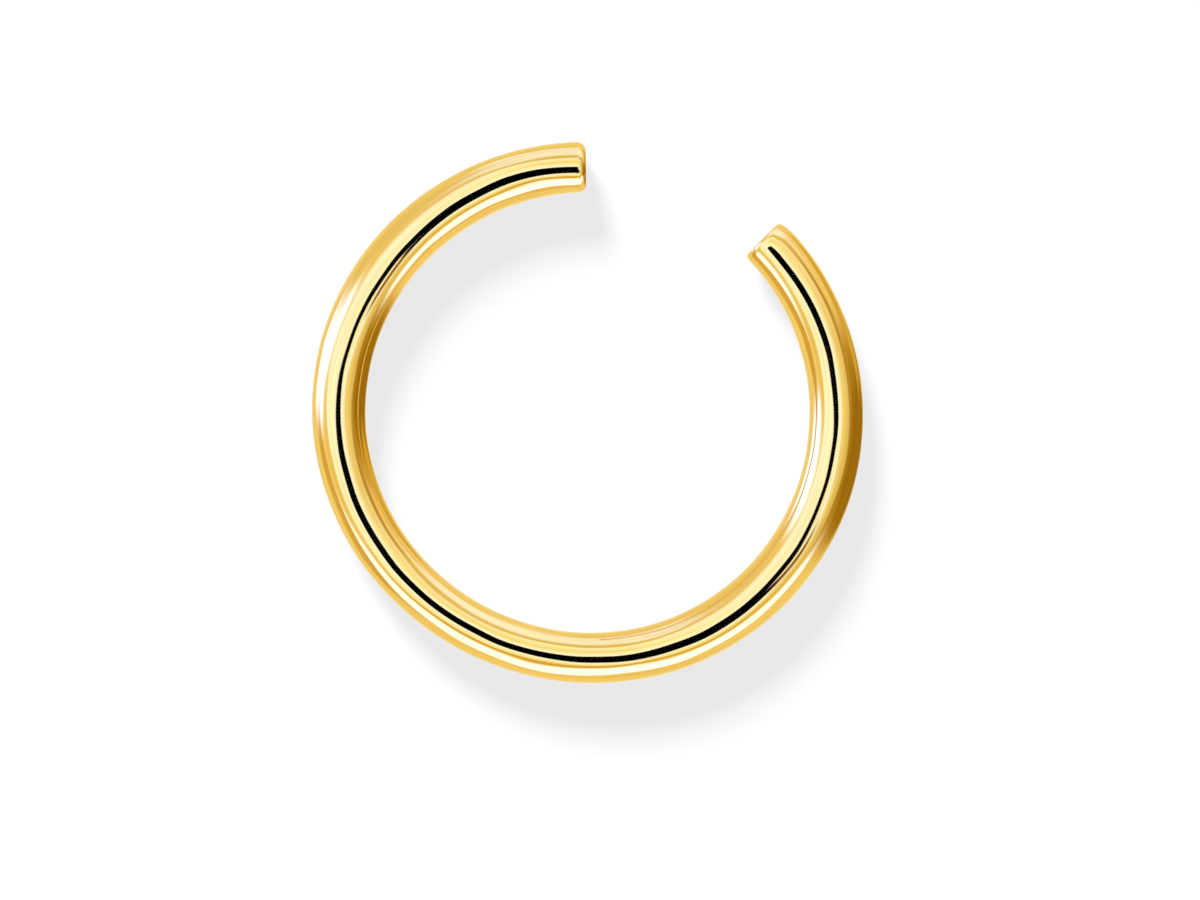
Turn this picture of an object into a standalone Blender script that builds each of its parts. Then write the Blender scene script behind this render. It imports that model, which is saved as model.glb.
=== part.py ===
# Plain ear cuff: one open hoop of round gold-plated wire, lying on its side.
#
# Metres, +Z up. The origin is the centre of the hoop, on the surface the hoop
# lies on. The hoop's axis is +Z, and the opening that slips over the edge of
# the ear faces +Y. Angles run anticlockwise from +X, seen from above.

import math

import bpy

MM = 0.001

# Driving dimensions of the wire and of the hoop bent from it.
WIRE_DIAMETER = 1.25 * MM
HOOP_MIDLINE_RADIUS = 5.88 * MM

# The opening between the two wire ends, as an angle at the hoop's centre.
OPENING_MIDDLE = math.radians(90.0)
OPENING_ANGLE = math.radians(45.7)

# Both ends are tumbled: their sharp edges are rounded by this much. An edge
# counts as sharp where its faces turn by more than the angle.
END_EDGE_RADIUS = 0.15 * MM
SHARP_EDGE_ANGLE = math.radians(60.0)

# The hoop was bent by hand round a mandrel, so it is a little out of round.
# It is slightly oval, long from side to side, and very slightly three-sided.
OVAL_RISE = 0.047 * MM
OVAL_DIRECTION = math.radians(5.0)
THREE_SIDED_RISE = 0.017 * MM
THREE_SIDED_DIRECTION = math.radians(77.0)

# Filing and polishing left the wire thickest at the hoop's two sides.
WIRE_THICKNESS_RISE = 0.045 * MM
WIRE_THICKEST_DIRECTION = math.radians(2.0)

# Fineness of the faceted solid. The number of sides round the wire is
# 2 * (bevel_resolution + 2).
STATIONS_ALONG_HOOP = 120
BEVEL_RESOLUTION = 8
WIRE_SIDES = 2 * (BEVEL_RESOLUTION + 2)
END_EDGE_SEGMENTS = 3
MERGE_DISTANCE = 0.001 * MM

GOLD_COLOUR = (0.83, 0.55, 0.19, 1.0)
GOLD_ROUGHNESS = 0.06


def clear_scene():
    """Remove whatever the opened file holds."""
    for existing in list(bpy.data.objects):
        bpy.data.objects.remove(existing, do_unlink=True)


def midline_radius(angle):
    """Distance from the hoop's centre to the middle of the wire."""
    oval = OVAL_RISE * math.cos(2.0 * (angle - OVAL_DIRECTION))
    three_sided = THREE_SIDED_RISE * math.cos(3.0 * (angle - THREE_SIDED_DIRECTION))
    return HOOP_MIDLINE_RADIUS + oval + three_sided


def wire_diameter(angle):
    """Thickness of the wire at one place round the hoop."""
    rise = WIRE_THICKNESS_RISE * math.cos(2.0 * (angle - WIRE_THICKEST_DIRECTION))
    return WIRE_DIAMETER + rise


def underside_drop():
    """Height of the wire's middle over its lowest flat, for a wire of radius 1."""
    return math.cos(math.pi / WIRE_SIDES)


def hoop_stations():
    """Angles of the points along the wire, from one end round to the other."""
    first = OPENING_MIDDLE + OPENING_ANGLE / 2.0
    sweep = 2.0 * math.pi - OPENING_ANGLE
    for index in range(STATIONS_ALONG_HOOP + 1):
        yield first + sweep * index / STATIONS_ALONG_HOOP


def make_gold():
    """Polished yellow gold plating."""
    material = bpy.data.materials.new("polished_gold_plating")
    material.use_nodes = True
    shader = material.node_tree.nodes["Principled BSDF"]
    shader.inputs["Base Color"].default_value = GOLD_COLOUR
    shader.inputs["Metallic"].default_value = 1.0
    shader.inputs["Roughness"].default_value = GOLD_ROUGHNESS
    material.diffuse_color = GOLD_COLOUR
    return material


def make_hoop_curve():
    """The wire as a swept curve, whose lowest row of flats lies on the floor."""
    curve = bpy.data.curves.new("cuff_hoop", "CURVE")
    curve.dimensions = "3D"
    curve.twist_mode = "Z_UP"
    curve.bevel_depth = WIRE_DIAMETER / 2.0
    curve.bevel_resolution = BEVEL_RESOLUTION
    curve.use_fill_caps = True
    curve.render_resolution_u = 0
    spline = curve.splines.new("POLY")
    spline.points.add(STATIONS_ALONG_HOOP)
    half_a_flat = math.pi / WIRE_SIDES
    for point, angle in zip(spline.points, hoop_stations()):
        radius = midline_radius(angle)
        thickness = wire_diameter(angle)
        height = underside_drop() * thickness / 2.0
        point.co = (radius * math.cos(angle), radius * math.sin(angle), height, 1.0)
        point.radius = thickness / WIRE_DIAMETER
        point.tilt = half_a_flat
    return curve


def make_hoop(collection):
    """The one piece of the cuff: the bent wire with its two rounded ends."""
    hoop = bpy.data.objects.new("cuff_hoop", make_hoop_curve())
    collection.objects.link(hoop)
    hoop.data.materials.append(make_gold())

    weld = hoop.modifiers.new("join_end_caps", "WELD")
    weld.merge_threshold = MERGE_DISTANCE

    rounded = hoop.modifiers.new("round_end_edges", "BEVEL")
    rounded.limit_method = "ANGLE"
    rounded.angle_limit = SHARP_EDGE_ANGLE
    rounded.width = END_EDGE_RADIUS
    rounded.segments = END_EDGE_SEGMENTS
    rounded.use_clamp_overlap = False
    return hoop


def main():
    clear_scene()
    collection = bpy.data.collections.new("ear_cuff")
    bpy.context.scene.collection.children.link(collection)
    make_hoop(collection)


main()
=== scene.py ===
# Looks of a plain ear cuff: one open hoop of round wire, polished and gold plated.
#
# The cuff lies on its side on a plain pale floor and is seen from straight above.
# Lengths are metres, angles round the hoop run anticlockwise from +X seen from above.

import math

import bmesh
import bpy
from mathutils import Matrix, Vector


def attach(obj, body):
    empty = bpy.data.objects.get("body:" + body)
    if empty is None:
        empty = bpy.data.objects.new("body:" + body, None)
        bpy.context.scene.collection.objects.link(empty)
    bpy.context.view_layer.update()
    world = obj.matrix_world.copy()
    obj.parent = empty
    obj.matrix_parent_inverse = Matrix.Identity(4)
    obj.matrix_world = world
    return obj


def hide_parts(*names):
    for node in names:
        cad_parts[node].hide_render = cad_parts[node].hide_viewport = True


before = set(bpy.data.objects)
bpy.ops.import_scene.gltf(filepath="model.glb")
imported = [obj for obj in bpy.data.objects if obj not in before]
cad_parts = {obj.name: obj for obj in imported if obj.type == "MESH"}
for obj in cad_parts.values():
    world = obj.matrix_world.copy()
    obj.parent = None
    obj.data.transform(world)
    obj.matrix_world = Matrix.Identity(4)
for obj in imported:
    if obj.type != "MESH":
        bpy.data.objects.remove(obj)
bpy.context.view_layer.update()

bl_info = {
    "name": "Plain ear cuff",
    "version": (1, 0, 0),
    "blender": (4, 5, 0),
    "location": "3D View > Sidebar > Ear Cuff",
    "description": "Builds a polished gold-plated wire ear cuff and the studio it lies in",
    "category": "Object",
}

MM = 0.001
HOOP_NODE = "cuff_hoop"
HOOP_BODY = "root"

# The hoop's middle stands this far clockwise of upright in the photograph's frame.
PHOTO_TURN = math.radians(22.35)

# Fineness of the wire's mesh.
SIDES_ROUND_WIRE = 72
STATIONS_ALONG_WIRE = 620
RINGS_ON_SHOULDER = 14
RINGS_ON_END_FACE = 6


def linear(hex_colour, brightness=1.0):
    """An sRGB hex colour as a linear RGBA colour."""
    channels = []
    for start in (0, 2, 4):
        value = int(hex_colour[start:start + 2], 16) / 255.0
        if value <= 0.04045:
            value = value / 12.92
        else:
            value = ((value + 0.055) / 1.055) ** 2.4
        channels.append(value * brightness)
    return (*channels, 1.0)


def add_node(tree, kind, inputs=None, **settings):
    """Add one node, set its settings, and link or set its inputs."""
    node = tree.nodes.new(kind)
    for name, value in settings.items():
        setattr(node, name, value)
    for key, value in (inputs or {}).items():
        if isinstance(value, bpy.types.NodeSocket):
            tree.links.new(value, node.inputs[key])
        else:
            node.inputs[key].default_value = value
    return node


def new_material(name):
    """An empty node material with its output node."""
    material = bpy.data.materials.new(name)
    material.use_nodes = True
    material.node_tree.nodes.clear()
    output = add_node(material.node_tree, "ShaderNodeOutputMaterial")
    return material, material.node_tree, output


class CuffHoopSizes(bpy.types.PropertyGroup):
    """Sizes of the bent wire."""

    wire_diameter: bpy.props.FloatProperty(
        name="Wire diameter",
        description="Mean thickness of the round wire",
        default=1.25 * MM,
        precision=5,
        subtype="DISTANCE",
        unit="LENGTH",
    )
    midline_radius: bpy.props.FloatProperty(
        name="Midline radius",
        description="Mean distance from the hoop's centre to the middle of the wire",
        default=5.88 * MM,
        precision=5,
        subtype="DISTANCE",
        unit="LENGTH",
    )
    opening_angle: bpy.props.FloatProperty(
        name="Opening",
        description="Angle that the opening between the wire ends takes at the hoop's centre",
        default=math.radians(45.7),
        subtype="ANGLE",
        unit="ROTATION",
    )
    opening_direction: bpy.props.FloatProperty(
        name="Opening direction",
        description="Direction of the opening's middle from the hoop's centre",
        default=math.radians(90.0),
        subtype="ANGLE",
        unit="ROTATION",
    )
    oval_rise: bpy.props.FloatProperty(
        name="Oval rise",
        description="How far the hoop is longer from side to side than a true circle",
        default=0.047 * MM,
        precision=5,
        subtype="DISTANCE",
        unit="LENGTH",
    )
    three_sided_rise: bpy.props.FloatProperty(
        name="Three-sided rise",
        description="How far the hand-bent hoop leans to a three-sided form",
        default=0.017 * MM,
        precision=5,
        subtype="DISTANCE",
        unit="LENGTH",
    )
    thickness_rise: bpy.props.FloatProperty(
        name="Thickness rise",
        description="How much thicker filing left the wire at the hoop's two sides",
        default=0.045 * MM,
        precision=5,
        subtype="DISTANCE",
        unit="LENGTH",
    )
    forming_wave: bpy.props.FloatProperty(
        name="Forming wave",
        description="Height of the faint waves that bending by hand left in the wire",
        default=0.0016 * MM,
        precision=6,
        subtype="DISTANCE",
        unit="LENGTH",
    )


class PlatingFinish(bpy.types.PropertyGroup):
    """Finish of the gold plating."""

    gold_colour: bpy.props.FloatVectorProperty(
        name="Gold",
        description="Colour of the polished plating where it is fresh",
        default=linear("f7d284")[:3],
        size=3,
        min=0.0,
        max=1.0,
        subtype="COLOR",
    )
    deep_gold_colour: bpy.props.FloatVectorProperty(
        name="Deep gold",
        description="Colour of the plating where it lies a little thicker",
        default=linear("f5ce7e")[:3],
        size=3,
        min=0.0,
        max=1.0,
        subtype="COLOR",
    )
    polish: bpy.props.FloatProperty(
        name="Roughness",
        description="Roughness of the mirror polish",
        default=0.05,
        min=0.0,
        max=1.0,
        subtype="FACTOR",
    )


class StudioSetup(bpy.types.PropertyGroup):
    """Floor, lights and camera."""

    floor_colour: bpy.props.FloatVectorProperty(
        name="Floor",
        description="Colour of the plain pale floor",
        default=linear("f3f3f3")[:3],
        size=3,
        min=0.0,
        max=1.0,
        subtype="COLOR",
    )
    key_strength: bpy.props.FloatProperty(
        name="Key light",
        description="Strength of the soft key light that casts the shadow",
        default=1.98,
        min=0.0,
    )
    fill_strength: bpy.props.FloatProperty(
        name="Fill light",
        description="Strength of the even fill light from all round",
        default=0.905,
        min=0.0,
    )
    frame_width: bpy.props.FloatProperty(
        name="Frame width",
        description="Width of floor that the camera's frame takes in",
        default=28.61 * MM,
        precision=5,
        subtype="DISTANCE",
        unit="LENGTH",
    )


# Directions in which the hoop is longest and the wire thickest.
OVAL_DIRECTION = math.radians(5.0)
THREE_SIDED_DIRECTION = math.radians(77.0)
THICKEST_DIRECTION = math.radians(2.0)

# How each cut end was tumbled. A shoulder starts some way before the end and
# brings the wire in by a drop. Both change from the hoop's inner to outer side.
# end: (length at middle, added at outer side, drop at middle, added at outer side)
FIRST_END = (0.21 * MM, 0.01 * MM, 0.165 * MM, 0.02 * MM)
LAST_END = (0.30 * MM, 0.14 * MM, 0.105 * MM, 0.025 * MM)
END_FACE_SWELL = 0.012 * MM

# Faint waves of forming: how many run along the whole turn, how many round the
# wire, the phase of each in radians, and its share of the wave height.
FORMING_WAVES = (
    (9, 2, 0.4, 1.0),
    (14, 3, 2.1, 1.0),
    (23, 4, 4.0, 0.6),
    (37, 3, 1.3, 0.3),
)


# Places where the bending tool pressed the wire's top a little to one side.
# direction in degrees, width in degrees, shift outwards as a share of the wire's radius
TOOL_LEANS = (
    (169.0, 17.0, -0.078),
    (131.0, 11.0, 0.085),
    (2.0, 22.0, -0.030),
    (47.0, 14.0, 0.035),
    (207.0, 12.0, 0.022),
    (277.0, 30.0, -0.018),
    (114.0, 6.0, -0.050),
)


def lean(angle):
    """How far the wire's top leans outwards at one place, over the wire's radius."""
    total = 0.0
    for direction, width, shift in TOOL_LEANS:
        off = (math.degrees(angle) - direction + 180.0) % 360.0 - 180.0
        total += shift * math.exp(-((off / width) ** 2))
    return total


def midline_radius(sizes, angle):
    """Distance from the hoop's centre to the middle of the wire."""
    oval = sizes.oval_rise * math.cos(2.0 * (angle - OVAL_DIRECTION))
    three_sided = sizes.three_sided_rise * math.cos(3.0 * (angle - THREE_SIDED_DIRECTION))
    return sizes.midline_radius + oval + three_sided


def section_reach(sizes, angle, turn):
    """How far the wire's section reaches along a normal, and the rate of change.

    turn is the normal's angle from straight up, growing towards the outside.
    The wire is filed thicker from side to side alone, so its top stays level.
    """
    radius = sizes.wire_diameter / 2.0
    rise = sizes.thickness_rise * math.cos(2.0 * (angle - THICKEST_DIRECTION)) / 4.0
    oblique = 0.5 * radius * lean(angle)
    reach = radius + rise * (1.0 - math.cos(2.0 * turn)) + oblique * math.sin(2.0 * turn)
    change = 2.0 * (rise * math.sin(2.0 * turn) + oblique * math.cos(2.0 * turn))
    for along, around, phase, share in FORMING_WAVES:
        height = sizes.forming_wave * share * math.cos(along * angle + phase)
        reach += height * math.sin(around * turn)
        change += height * around * math.cos(around * turn)
    return reach, change


def wire_point(sizes, angle, turn, inset=0.0, inward=1.0):
    """One point of the wire's surface."""
    step = 0.001
    radius = midline_radius(sizes, angle)
    slope = (midline_radius(sizes, angle + step) - midline_radius(sizes, angle - step)) / (2.0 * step)
    along = Vector((
        slope * math.cos(angle) - radius * math.sin(angle),
        slope * math.sin(angle) + radius * math.cos(angle),
        0.0,
    )).normalized()
    outward = Vector((along.y, -along.x, 0.0))
    reach, change = section_reach(sizes, angle, turn)
    reach -= inset
    across = reach * math.sin(turn) + change * math.cos(turn)
    rise = reach * math.cos(turn) - change * math.sin(turn)
    height = section_reach(sizes, angle, math.pi)[0]
    middle = Vector((radius * math.cos(angle), radius * math.sin(angle), height))
    return middle + inward * (outward * across + Vector((0.0, 0.0, rise)))


def shoulder_rings(end):
    """Rings over one rounded end, from the full wire to the edge of its face.

    Each ring is a function of the normal's turn that gives the distance left to
    the end and the inset from the full section.
    """
    length, outer_length, drop, outer_drop = end
    for index in range(1, RINGS_ON_SHOULDER + 1):
        roll = 0.5 * math.pi * index / RINGS_ON_SHOULDER

        def ring(turn, roll=roll):
            side = math.sin(turn)
            left = (length + outer_length * side) * (1.0 - math.sin(roll))
            inset = (drop + outer_drop * side) * (1.0 - math.cos(roll))
            return left, inset

        yield ring


def build_wire_mesh(sizes):
    """The whole wire as one closed mesh with its length and girth as UV, in mm."""
    mesh = bpy.data.meshes.new("bent_gold_wire")
    shape = bmesh.new()
    wrap = shape.loops.layers.uv.new("wire_wrap")
    first = sizes.opening_direction + sizes.opening_angle / 2.0
    last = first + 2.0 * math.pi - sizes.opening_angle
    turns = [2.0 * math.pi * side / SIDES_ROUND_WIRE for side in range(SIDES_ROUND_WIRE)]

    def full(angle):
        return [(angle, shape.verts.new(wire_point(sizes, angle, turn))) for turn in turns]

    def end_rings(end, end_angle, direction):
        """Shoulder, then the slightly swollen end face, as rings of vertices."""
        rings = []
        for ring in shoulder_rings(end):
            row = []
            for turn in turns:
                left, inset = ring(turn)
                angle = end_angle - direction * left / sizes.midline_radius
                row.append((angle, shape.verts.new(wire_point(sizes, angle, turn, inset))))
            rings.append(row)
        _, _, drop, outer_drop = end
        for index in range(1, RINGS_ON_END_FACE):
            share = 1.0 - index / RINGS_ON_END_FACE
            swell = END_FACE_SWELL * (1.0 - share * share)
            angle = end_angle + direction * swell / sizes.midline_radius
            row = []
            for turn in turns:
                inset = drop + outer_drop * math.sin(turn)
                row.append((angle, shape.verts.new(wire_point(sizes, angle, turn, inset, share))))
            rings.append(row)
        return rings

    length = (FIRST_END[0] + FIRST_END[1]) / sizes.midline_radius
    run_start = first + 1.15 * length
    length = (LAST_END[0] + LAST_END[1]) / sizes.midline_radius
    run_end = last - 1.15 * length
    rows = list(reversed(end_rings(FIRST_END, first, -1.0)))
    for station in range(STATIONS_ALONG_WIRE + 1):
        rows.append(full(run_start + (run_end - run_start) * station / STATIONS_ALONG_WIRE))
    rows += end_rings(LAST_END, last, 1.0)

    def set_wrap(face, corners):
        for loop, (angle, side) in zip(face.loops, corners):
            along = (angle - first) * sizes.midline_radius / MM
            around = side / SIDES_ROUND_WIRE * math.pi * sizes.wire_diameter / MM
            loop[wrap].uv = (along, around)

    for near, far in zip(rows, rows[1:]):
        for side in range(SIDES_ROUND_WIRE):
            other = (side + 1) % SIDES_ROUND_WIRE
            face = shape.faces.new((near[side][1], near[other][1], far[other][1], far[side][1]))
            set_wrap(face, (
                (near[side][0], side),
                (near[other][0], side + 1),
                (far[other][0], side + 1),
                (far[side][0], side),
            ))
    for row, end_angle, direction in ((rows[0], first, -1.0), (rows[-1], last, 1.0)):
        angle = end_angle + direction * END_FACE_SWELL / sizes.midline_radius
        tip = shape.verts.new(wire_point(sizes, angle, 0.0, 0.0, 0.0))
        for side in range(SIDES_ROUND_WIRE):
            other = (side + 1) % SIDES_ROUND_WIRE
            face = shape.faces.new((row[side][1], row[other][1], tip))
            set_wrap(face, ((row[side][0], side), (row[other][0], side + 1), (angle, side + 0.5)))
    bmesh.ops.recalc_face_normals(shape, faces=shape.faces)
    for face in shape.faces:
        face.smooth = True
    shape.to_mesh(mesh)
    shape.free()
    return mesh


def polished_gold_plating(finish):
    """Yellow gold electroplated on silver wire and buffed to a mirror.

    The eye sees clear reflections in warm gold, a colour a shade deeper where
    the plating is thicker, and faint buffing lines along the wire.
    """
    material, tree, output = new_material("polished_gold_plating")
    wrap = add_node(tree, "ShaderNodeUVMap", uv_map="wire_wrap")

    # Plating gathers in clouds about 2 mm across.
    clouds = add_node(tree, "ShaderNodeTexNoise", {
        "Vector": wrap.outputs["UV"],
        "Scale": 0.5,
        "Detail": 2.0,
    })
    colour = add_node(tree, "ShaderNodeMix", {
        "Factor": clouds.outputs["Fac"],
        "A": (*finish.gold_colour, 1.0),
        "B": (*finish.deep_gold_colour, 1.0),
    }, data_type="RGBA")

    # Buffing lines run along the wire. Real ones are a few thousandths of a
    # millimetre wide, so they are drawn 0.04 mm wide and 1.5 mm long to show.
    stretch = add_node(tree, "ShaderNodeVectorMath", {
        0: wrap.outputs["UV"],
        1: (1.0 / 1.5, 1.0 / 0.04, 1.0),
    }, operation="MULTIPLY")
    lines = add_node(tree, "ShaderNodeTexNoise", {
        "Vector": stretch.outputs["Vector"],
        "Scale": 1.0,
        "Detail": 0.0,
    })
    roughness = add_node(tree, "ShaderNodeMapRange", {
        "Value": lines.outputs["Fac"],
        "From Min": 0.3,
        "From Max": 0.7,
        "To Min": finish.polish * 0.7,
        "To Max": finish.polish * 1.3,
    })
    relief = add_node(tree, "ShaderNodeBump", {
        "Height": lines.outputs["Fac"],
        "Strength": 0.05,
        "Distance": 0.001 * MM,
    })
    shader = add_node(tree, "ShaderNodeBsdfPrincipled", {
        "Base Color": colour.outputs["Result"],
        "Metallic": 1.0,
        "Roughness": roughness.outputs["Result"],
        "Normal": relief.outputs["Normal"],
    })
    tree.links.new(shader.outputs["BSDF"], output.inputs["Surface"])
    return material


# What stands round the cuff in the studio, as the cuff sees it.
#
# Directions are degrees from straight overhead. Bearings are degrees
# anticlockwise from the photograph's right. Only the polished gold sees these.
# A later row lies over an earlier one.
#
# The boxes burn out to white in the photograph. Gold takes most of the blue out
# of what it mirrors, so their light is a strong cold white here.
#
# arc: name, bearing, half width, from, to, soft sides, soft ends, hex, brightness
# panel: name, bearing, half width, degrees from overhead, half height, soft edge, hex, brightness
# oval: name, middle (right, up), half width, half height, soft edge, hex, brightness
# The gold doesn't see the floor. The rows below the horizon, beyond 90 degrees from overhead, paint the
# floor's reflection in its place: the pale table rows as a painted warm white reflection, and the brown
# wall rows, which reach down there on the right, as a painted dark brown reflection.
PALE_TABLE = ("pale_table", "fff5c0", 0.95)
TABLE_ARCS = (
    ("table_near", 0, 400, 120, 400, 1, 15, "fffac0", 0.95),
    ("table_below", 0, 400, 145, 400, 1, 15, "fffff0", 1.0),
)
LOW_PANELS = (
    ("back_softbox", 85, 45, 80, 25, 0.30, "c0d0ff", 2.0),
    ("left_softbox", 165, 20, 85, 28, 0.25, "90aaff", 4.5),
    ("front_softbox", 270, 65, 72, 16, 0.20, "a0b8ff", 3.8),
    ("front_softbox_end", 240, 25, 72, 11, 0.30, "a0b8ff", 3.8),
    ("gap_beside_left_softbox", 135, 20, 90, 25, 0.35, "fff8c8", 0.90),
    ("gap_beside_front_softbox", 205, 25, 90, 12, 0.35, "ffe488", 0.70),
)
BROWN_WALL = ("brown_wall", 355, 25, 50, 155, 8, 8, "ffd85c", 0.55)
WALL_PANELS = (
    ("dark_of_wall", 352, 20, 110, 45, 0.30, "ffd040", 0.35),
    ("wall_edge", 20, 20, 60, 10, 0.30, "ffdc80", 0.50),
    ("wall_foot", 25, 20, 120, 15, 0.30, "ffe478", 0.70),
)
OVERHEAD_PANEL = ("overhead_panel", (-3.0, 6.0), 54.0, 49.0, 0.10, "d8e5ff", 1.7)
OVERHEAD_SHADES = (
    ("overhead_left_side", 155, 40, 40, 15, 0.50, "c0d0ff", 2.3),
    ("overhead_far_side", 340, 60, 40, 16, 0.50, "fffcc8", 0.90),
    ("overhead_back_side", 75, 45, 26, 8, 0.50, "f4ffe0", 1.1),
    ("overhead_near_side", 270, 40, 35, 6, 0.40, "f0fff0", 1.25),
    ("frame_near", 270, 60, 47, 5, 0.50, "ffdc60", 0.75),
    ("frame_near_left", 200, 30, 55, 5, 0.50, "fff9b8", 0.90),
    ("frame_back", 80, 60, 55, 6, 0.50, "fff4b8", 0.82),
)
CAMERA_RIM = ("light_round_camera", (1.0, -11.0), 23.0, 18.0, 0.35, "b0c8ff", 2.5)
CAMERA_OVALS = (
    ("camera_body", (-3.5, -9.5), 15.5, 11.3, 0.06, "000000", 0.0),
    ("camera_grip", (6.0, -17.5), 12.5, 7.0, 0.06, "000000", 0.0),
    ("camera_lens", (3.0, -0.5), 8.0, 4.2, 0.10, "000000", 0.0),
)
CAMERA_STRAP = ("camera_strap", 325, 10, 25, 4, 0.30, "ffc878", 0.30)

# The panels are hung with white cloth. Its folds shift the panels' edges by a
# few degrees, half as far overhead, and creases about six degrees apart shade it.
FOLD_HEIGHT = 28.0
FOLD_SHARE_OVERHEAD = 0.5
CREASE_SPACING = 6.0
CREASE_DEPTH = 0.13


class StudioPainter:
    """Builds the colour that the cuff sees in each direction, layer by layer."""

    def __init__(self, tree):
        self.tree = tree
        place = add_node(tree, "ShaderNodeTexCoord").outputs["Object"]
        direction = self.vector("NORMALIZE", place).outputs["Vector"]
        parts = add_node(tree, "ShaderNodeSeparateXYZ", {"Vector": direction})
        flat = add_node(tree, "ShaderNodeCombineXYZ", {
            "X": parts.outputs["X"],
            "Y": parts.outputs["Y"],
        })
        self.bearing = self.vector("NORMALIZE", flat.outputs["Vector"]).outputs["Vector"]
        plain_height = self.sum("DEGREES", self.sum("ARCCOSINE", parts.outputs["Z"]))
        shift = self.fold_shift(direction)
        self.from_overhead = self.sum("ADD", plain_height, shift)
        overhead_shift = self.sum("MULTIPLY", shift, FOLD_SHARE_OVERHEAD)
        self.chart = add_node(tree, "ShaderNodeVectorMath", {
            "Vector": self.bearing,
            "Scale": self.sum("ADD", plain_height, overhead_shift),
        }, operation="SCALE").outputs["Vector"]
        self.colour = None

    def fold_shift(self, direction):
        """Heights that rise and fall a little, as panels of hanging cloth do."""
        folds = add_node(self.tree, "ShaderNodeTexNoise", {
            "Vector": direction,
            "Scale": 2.2,
            "Detail": 1.0,
        })
        return self.sum("MULTIPLY", self.sum("SUBTRACT", folds.outputs["Fac"], 0.5), FOLD_HEIGHT)

    def crease(self):
        """Lay long faint creases of the cloth, which run level round the table."""
        level = self.sum("DIVIDE", self.from_overhead, CREASE_SPACING)
        place = self.vector("MULTIPLY_ADD", self.bearing, (1.3, 1.3, 1.3))
        height = add_node(self.tree, "ShaderNodeCombineXYZ", {"Z": level})
        self.tree.links.new(height.outputs["Vector"], place.inputs[2])
        creases = add_node(self.tree, "ShaderNodeTexNoise", {
            "Vector": place.outputs["Vector"],
            "Scale": 1.0,
            "Detail": 1.0,
        })
        shade = add_node(self.tree, "ShaderNodeMapRange", {
            "Value": creases.outputs["Fac"],
            "From Min": 0.3,
            "From Max": 0.7,
            "To Min": 1.0 - CREASE_DEPTH,
            "To Max": 1.0 + CREASE_DEPTH,
        })
        self.colour = add_node(self.tree, "ShaderNodeVectorMath", {
            "Vector": self.colour,
            "Scale": shade.outputs["Result"],
        }, operation="SCALE").outputs["Vector"]

    def sum(self, operation, first, second=0.0):
        node = add_node(self.tree, "ShaderNodeMath", {0: first, 1: second}, operation=operation)
        return node.outputs["Value"]

    def vector(self, operation, first, second=(0.0, 0.0, 0.0)):
        return add_node(self.tree, "ShaderNodeVectorMath", {
            0: first,
            1: second,
        }, operation=operation)

    def rise(self, value, low, high):
        """Soft step from 0 below low to 1 above high."""
        node = add_node(self.tree, "ShaderNodeMapRange", {
            "Value": value,
            "From Min": low,
            "From Max": high,
        }, interpolation_type="SMOOTHSTEP")
        return node.outputs["Result"]

    def lay(self, name, mask, hex_colour, brightness):
        """Lay one colour over what is there, where the mask is 1."""
        colour = linear(hex_colour, brightness)
        if self.colour is None:
            self.colour = colour
            return
        node = add_node(self.tree, "ShaderNodeMix", {
            "Factor": mask,
            "A": self.colour,
            "B": colour,
        }, data_type="RGBA", label=name)
        self.colour = node.outputs["Result"]

    def arc(self, name, bearing, half_width, low, high, soft_sides, soft_ends, hex_colour, brightness):
        turn = math.radians(bearing)
        lined_up = self.vector("DOT_PRODUCT", self.bearing, (math.cos(turn), math.sin(turn), 0.0))
        off = self.sum("DEGREES", self.sum("ARCCOSINE", lined_up.outputs["Value"]))
        beside = self.rise(off, half_width - soft_sides, half_width + soft_sides)
        above = self.rise(self.from_overhead, low - soft_ends, low + soft_ends)
        below = self.rise(self.from_overhead, high - soft_ends, high + soft_ends)
        mask = self.sum("MULTIPLY", self.sum("SUBTRACT", above, below), self.sum("SUBTRACT", 1.0, beside))
        self.lay(name, mask, hex_colour, brightness)

    def panel(self, name, bearing, half_width, middle, half_height, soft, hex_colour, brightness):
        """A panel with rounded ends that stands round the table."""
        turn = math.radians(bearing)
        lined_up = self.vector("DOT_PRODUCT", self.bearing, (math.cos(turn), math.sin(turn), 0.0))
        off = self.sum("DEGREES", self.sum("ARCCOSINE", lined_up.outputs["Value"]))
        beside = self.sum("DIVIDE", off, half_width)
        height = self.sum("DIVIDE", self.sum("SUBTRACT", self.from_overhead, middle), half_height)
        place = add_node(self.tree, "ShaderNodeCombineXYZ", {"X": beside, "Y": height})
        distance = self.vector("LENGTH", place.outputs["Vector"]).outputs["Value"]
        mask = self.sum("SUBTRACT", 1.0, self.rise(distance, 1.0 - soft, 1.0 + soft))
        self.lay(name, mask, hex_colour, brightness)

    def stretched(self, middle, half_width, half_height):
        """Distance from an oval's middle, 1 at its edge."""
        shifted = self.vector("SUBTRACT", self.chart, (*middle, 0.0))
        scaled = self.vector("DIVIDE", shifted.outputs["Vector"], (half_width, half_height, 1.0))
        return self.vector("LENGTH", scaled.outputs["Vector"]).outputs["Value"]

    def oval(self, name, middle, half_width, half_height, soft, hex_colour, brightness):
        distance = self.stretched(middle, half_width, half_height)
        mask = self.sum("SUBTRACT", 1.0, self.rise(distance, 1.0 - soft, 1.0 + soft))
        self.lay(name, mask, hex_colour, brightness)

    def ring(self, name, middle, half_width, half_height, soft, hex_colour, brightness):
        distance = self.stretched(middle, half_width, half_height)
        off = self.sum("ABSOLUTE", self.sum("SUBTRACT", distance, 1.0))
        mask = self.sum("SUBTRACT", 1.0, self.rise(off, 0.0, soft))
        self.lay(name, mask, hex_colour, brightness)


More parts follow.
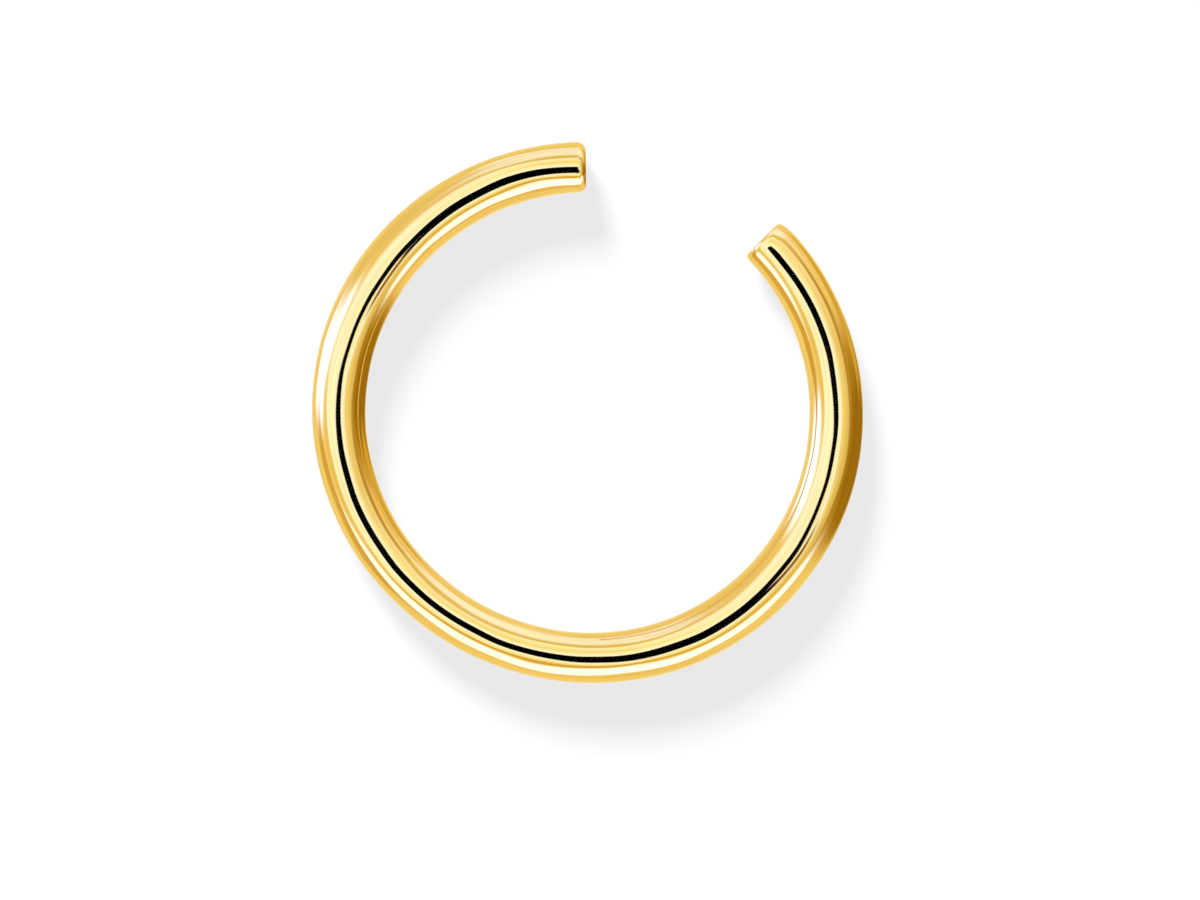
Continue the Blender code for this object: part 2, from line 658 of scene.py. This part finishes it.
def studio_surroundings():
    """Softboxes, brown wall, table and camera hood, painted on one dome.

    The polished wire shows them as long bands: white from the softboxes, brown
    from the wall, and one black line from the camera's hood.
    """
    material, tree, output = new_material("studio_surroundings")
    painter = StudioPainter(tree)
    name, hex_colour, brightness = PALE_TABLE
    painter.lay(name, None, hex_colour, brightness)
    for row in TABLE_ARCS:
        painter.arc(*row)
    for row in LOW_PANELS:
        painter.panel(*row)
    painter.arc(*BROWN_WALL)
    for row in WALL_PANELS:
        painter.panel(*row)
    painter.oval(*OVERHEAD_PANEL)
    for row in OVERHEAD_SHADES:
        painter.panel(*row)
    painter.crease()
    painter.ring(*CAMERA_RIM)
    painter.panel(*CAMERA_STRAP)
    for row in CAMERA_OVALS:
        painter.oval(*row)
    glow = add_node(tree, "ShaderNodeEmission", {"Color": painter.colour, "Strength": 1.0})
    tree.links.new(glow.outputs["Emission"], output.inputs["Surface"])
    material.cycles.emission_sampling = "NONE"
    return material


def pale_floor(setup):
    """Matte white card: plain, with no gloss of its own."""
    material, tree, output = new_material("matte_white_card")
    shader = add_node(tree, "ShaderNodeBsdfPrincipled", {
        "Base Color": (*setup.floor_colour, 1.0),
        "Roughness": 1.0,
        "Specular IOR Level": 0.0,
    })
    tree.links.new(shader.outputs["BSDF"], output.inputs["Surface"])
    return material


def show_only_to(piece, **rays):
    """Say which kinds of light ray meet a stage piece."""
    for kind in ("camera", "diffuse", "glossy", "transmission", "volume_scatter", "shadow"):
        setattr(piece, "visible_" + kind, rays.get(kind, False))


def link_object(name, data):
    piece = bpy.data.objects.new(name, data)
    bpy.context.scene.collection.objects.link(piece)
    return piece


FLOOR_HALF_WIDTH = 3.0
DOME_RADIUS = 0.6
CAMERA_HEIGHT = 0.30
SENSOR_WIDTH = 36.0
HOOP_LEFT_OF_FRAME_MIDDLE = 0.281 * MM
HOOP_ABOVE_FRAME_MIDDLE = 0.897 * MM

# The key light stands beyond the photograph's upper left.
KEY_BEARING = PHOTO_TURN + math.radians(114.0)
KEY_ELEVATION = math.radians(28.5)
KEY_SOFTNESS = math.radians(24.0)


def make_floor(setup):
    mesh = bpy.data.meshes.new("floor")
    shape = bmesh.new()
    bmesh.ops.create_grid(shape, x_segments=1, y_segments=1, size=FLOOR_HALF_WIDTH)
    shape.to_mesh(mesh)
    shape.free()
    floor = link_object("floor", mesh)
    floor.data.materials.append(pale_floor(setup))
    # The gold doesn't mirror the floor. The studio dome paints the floor's reflection instead.
    show_only_to(floor, camera=True, diffuse=True, shadow=True)


def make_dome():
    mesh = bpy.data.meshes.new("studio_dome")
    shape = bmesh.new()
    bmesh.ops.create_uvsphere(shape, u_segments=64, v_segments=32, radius=DOME_RADIUS)
    bmesh.ops.reverse_faces(shape, faces=shape.faces)
    shape.to_mesh(mesh)
    shape.free()
    dome = link_object("studio_dome", mesh)
    dome.rotation_euler.z = PHOTO_TURN
    dome.data.materials.append(studio_surroundings())
    show_only_to(dome, glossy=True)


def make_lights(setup):
    key = bpy.data.lights.new("soft_key", "SUN")
    key.energy = setup.key_strength
    key.angle = KEY_SOFTNESS
    lamp = link_object("soft_key", key)
    towards = Vector((
        math.cos(KEY_BEARING) * math.cos(KEY_ELEVATION),
        math.sin(KEY_BEARING) * math.cos(KEY_ELEVATION),
        math.sin(KEY_ELEVATION),
    ))
    lamp.rotation_euler = towards.to_track_quat("Z", "Y").to_euler()
    lamp.visible_glossy = False

    world = bpy.data.worlds.new("even_fill")
    world.use_nodes = True
    background = world.node_tree.nodes["Background"]
    background.inputs["Color"].default_value = linear("ffffff")
    background.inputs["Strength"].default_value = setup.fill_strength
    world.cycles_visibility.glossy = False
    bpy.context.scene.world = world


def make_camera(setup):
    data = bpy.data.cameras.new("overhead_camera")
    data.sensor_width = SENSOR_WIDTH
    data.lens = SENSOR_WIDTH * CAMERA_HEIGHT / setup.frame_width
    camera = link_object("overhead_camera", data)
    right = Vector((math.cos(PHOTO_TURN), math.sin(PHOTO_TURN), 0.0))
    up = Vector((-math.sin(PHOTO_TURN), math.cos(PHOTO_TURN), 0.0))
    middle = right * HOOP_LEFT_OF_FRAME_MIDDLE - up * HOOP_ABOVE_FRAME_MIDDLE
    camera.location = middle + Vector((0.0, 0.0, CAMERA_HEIGHT))
    camera.rotation_euler = (0.0, 0.0, PHOTO_TURN)
    data.clip_start = 0.01
    data.clip_end = 10.0
    bpy.context.scene.camera = camera


class EARCUFF_OT_wire_hoop(bpy.types.Operator):
    """Build the bent gold-plated wire"""

    bl_idname = "ear_cuff.wire_hoop"
    bl_label = "Bent gold wire"

    def execute(self, context):
        scene = context.scene
        wire = link_object("bent_gold_wire", build_wire_mesh(scene.ear_cuff_hoop))
        wire.data.materials.append(polished_gold_plating(scene.ear_cuff_plating))
        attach(wire, HOOP_BODY)
        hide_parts(HOOP_NODE)
        # The fill light reaches under the wire, so the floor beside it stays white.
        wire.visible_diffuse = False
        return {"FINISHED"}


class EARCUFF_OT_studio(bpy.types.Operator):
    """Lay the pale floor and set up the studio's lights and camera"""

    bl_idname = "ear_cuff.studio"
    bl_label = "Floor, lights and camera"

    def execute(self, context):
        setup = context.scene.ear_cuff_studio
        make_floor(setup)
        make_dome()
        make_lights(setup)
        make_camera(setup)
        context.scene.view_settings.view_transform = "Standard"
        return {"FINISHED"}


class EARCUFF_PT_panel(bpy.types.Panel):
    """The cuff's sizes, finish and studio"""

    bl_label = "Ear Cuff"
    bl_idname = "EARCUFF_PT_panel"
    bl_space_type = "VIEW_3D"
    bl_region_type = "UI"
    bl_category = "Ear Cuff"

    def draw(self, context):
        groups = (
            (EARCUFF_OT_wire_hoop, ("ear_cuff_hoop", "ear_cuff_plating")),
            (EARCUFF_OT_studio, ("ear_cuff_studio",)),
        )
        for operator, names in groups:
            box = self.layout.box()
            for name in names:
                settings = getattr(context.scene, name)
                for prop in settings.__annotations__:
                    box.prop(settings, prop)
            box.operator(operator.bl_idname)


CLASSES = (
    CuffHoopSizes,
    PlatingFinish,
    StudioSetup,
    EARCUFF_OT_wire_hoop,
    EARCUFF_OT_studio,
    EARCUFF_PT_panel,
)
SETTINGS = (
    ("ear_cuff_hoop", CuffHoopSizes),
    ("ear_cuff_plating", PlatingFinish),
    ("ear_cuff_studio", StudioSetup),
)


def register():
    for cls in CLASSES:
        bpy.utils.register_class(cls)
    for name, group in SETTINGS:
        setattr(bpy.types.Scene, name, bpy.props.PointerProperty(type=group))


def unregister():
    for name, _ in SETTINGS:
        delattr(bpy.types.Scene, name)
    for cls in reversed(CLASSES):
        bpy.utils.unregister_class(cls)


def main():
    register()
    bpy.ops.ear_cuff.wire_hoop()
    bpy.ops.ear_cuff.studio()


if __name__ == "__main__":
    main()
